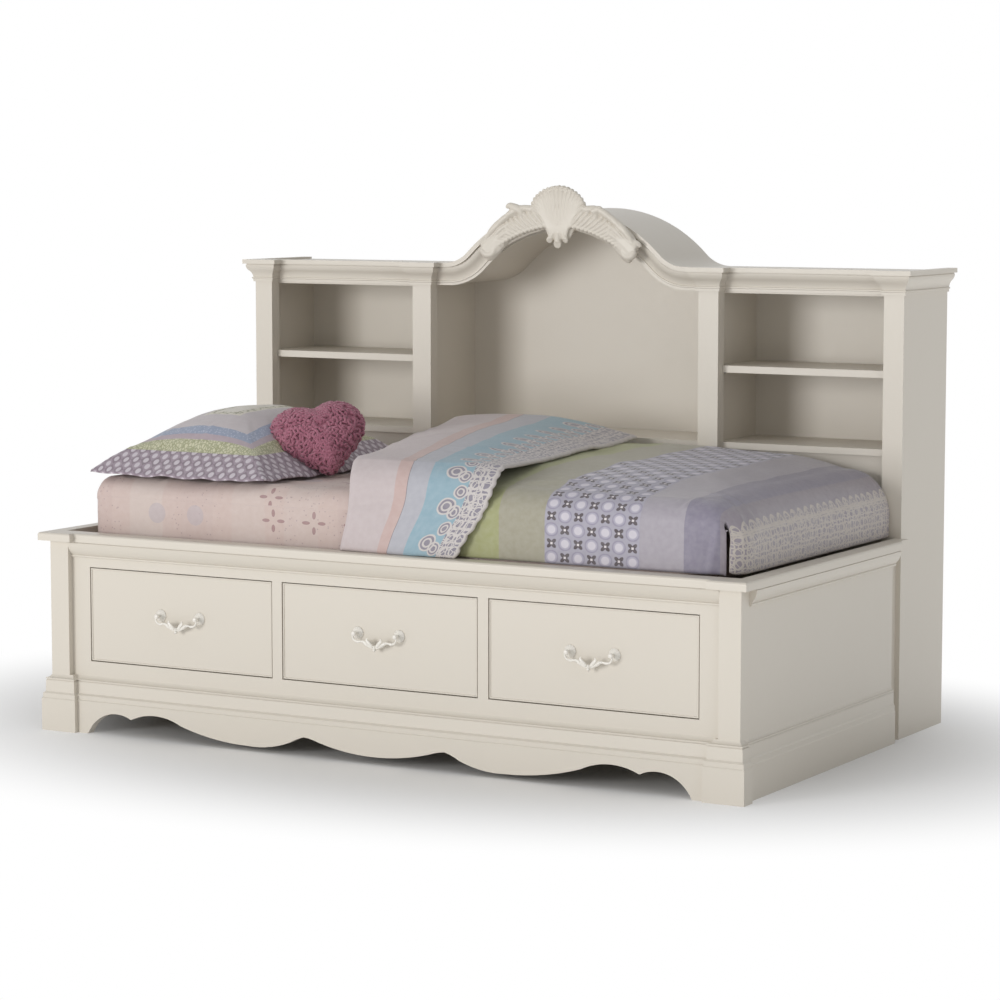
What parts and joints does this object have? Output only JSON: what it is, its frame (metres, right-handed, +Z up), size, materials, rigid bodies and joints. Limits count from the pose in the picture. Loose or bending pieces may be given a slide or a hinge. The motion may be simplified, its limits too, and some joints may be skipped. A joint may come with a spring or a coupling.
{
  "type": "storage daybed",
  "caption": "Painted daybed with drawers below, a moulded cap, a scalloped apron and a bookcase back with an arched, carved hood; dressed with patterned bedding.",
  "frame": {"origin": "on the floor, under the middle of the whole bounding box", "axes": "+X along the bed, from the pillow end to the other end; +Y from the drawer front towards the wall; +Z up"},
  "size_m": [2.11, 1.314, 1.4682],
  "materials": {
    "painted_wood": "satin cream paint",
    "inner_wood": "plain sanded",
    "pull_metal": "satin cream enamel",
    "steel": "zinc",
    "sheet": "woven cotton",
    "duvet": "woven cotton",
    "fold": "woven cotton",
    "sham": "woven cotton",
    "heart": "shaggy"
  },
  "bodies": {
    "daybed": {"apron_front": "painted_wood", "arch_header": "painted_wood", "arched_hood": "painted_wood", "arched_soffit": "painted_wood", "back_panel": "painted_wood", "base_moulding_front": "painted_wood", "bay_headers": "painted_wood", "bed_slats": "inner_wood", "bookcase_deck": "painted_wood", "bookcase_dividers": "painted_wood", "bookcase_side_left": "painted_wood", "bookcase_side_right": "painted_wood", "cap_front": "painted_wood", "cap_left": "painted_wood", "cap_right": "painted_wood", "corner_posts": "painted_wood", "cornice_arch": "painted_wood", "cornice_left": "painted_wood", "cornice_right": "painted_wood", "crest_carving": "painted_wood", "drawer_cross_rail": "inner_wood", "drawer_runners": "inner_wood", "drawer_tracks": "steel", "duvet": "duvet", "duvet_fold": "fold", "foot_blocks": "painted_wood", "front_bottom_rail": "painted_wood", "front_stiles": "painted_wood", "front_top_rail": "painted_wood", "heart_cushion": "heart", "inner_stiles": "painted_wood", "joining_bolts": "steel", "lower_panels": "painted_wood", "mattress": "sheet", "outer_stiles": "painted_wood", "pillow": "sham", "rear_posts": "painted_wood", "rear_rail": "inner_wood", "shelf_left": "painted_wood", "shelf_pins": "steel", "shelf_right": "painted_wood", "side_panel_left": "painted_wood", "side_panel_right": "painted_wood", "side_plinth_left": "painted_wood", "side_plinth_right": "painted_wood", "slat_ledgers": "inner_wood", "top_boards": "painted_wood"},
    "drawer_left": {"drawer_front_left": "painted_wood", "drawer_box_left": "inner_wood", "pull_mounts_left": "pull_metal"},
    "bail_left": {"pull_bail_left": "pull_metal"},
    "drawer_centre": {"drawer_front_centre": "painted_wood", "drawer_box_centre": "inner_wood", "pull_mounts_centre": "pull_metal"},
    "bail_centre": {"pull_bail_centre": "pull_metal"},
    "drawer_right": {"drawer_front_right": "painted_wood", "drawer_box_right": "inner_wood", "pull_mounts_right": "pull_metal"},
    "bail_right": {"pull_bail_right": "pull_metal"}
  },
  "joints": [
    {"name": "drawer_left_slide", "type": "slide", "parent": "daybed", "child": "drawer_left", "axis": [0, -1, 0], "range_m": [0, 0.4]},
    {"name": "drawer_centre_slide", "type": "slide", "parent": "daybed", "child": "drawer_centre", "axis": [0, -1, 0], "range_m": [0, 0.4]},
    {"name": "drawer_right_slide", "type": "slide", "parent": "daybed", "child": "drawer_right", "axis": [0, -1, 0], "range_m": [0, 0.4]},
    {"name": "bail_left_swing", "type": "hinge", "parent": "drawer_left", "child": "bail_left", "pos_m": [-0.61867, -0.633, 0.333], "axis": [-1, 0, 0], "range_deg": [-20, 85]},
    {"name": "bail_centre_swing", "type": "hinge", "parent": "drawer_centre", "child": "bail_centre", "pos_m": [0, -0.633, 0.333], "axis": [-1, 0, 0], "range_deg": [-20, 85]},
    {"name": "bail_right_swing", "type": "hinge", "parent": "drawer_right", "child": "bail_right", "pos_m": [0.61867, -0.633, 0.333], "axis": [-1, 0, 0], "range_deg": [-20, 85]}
  ]
}
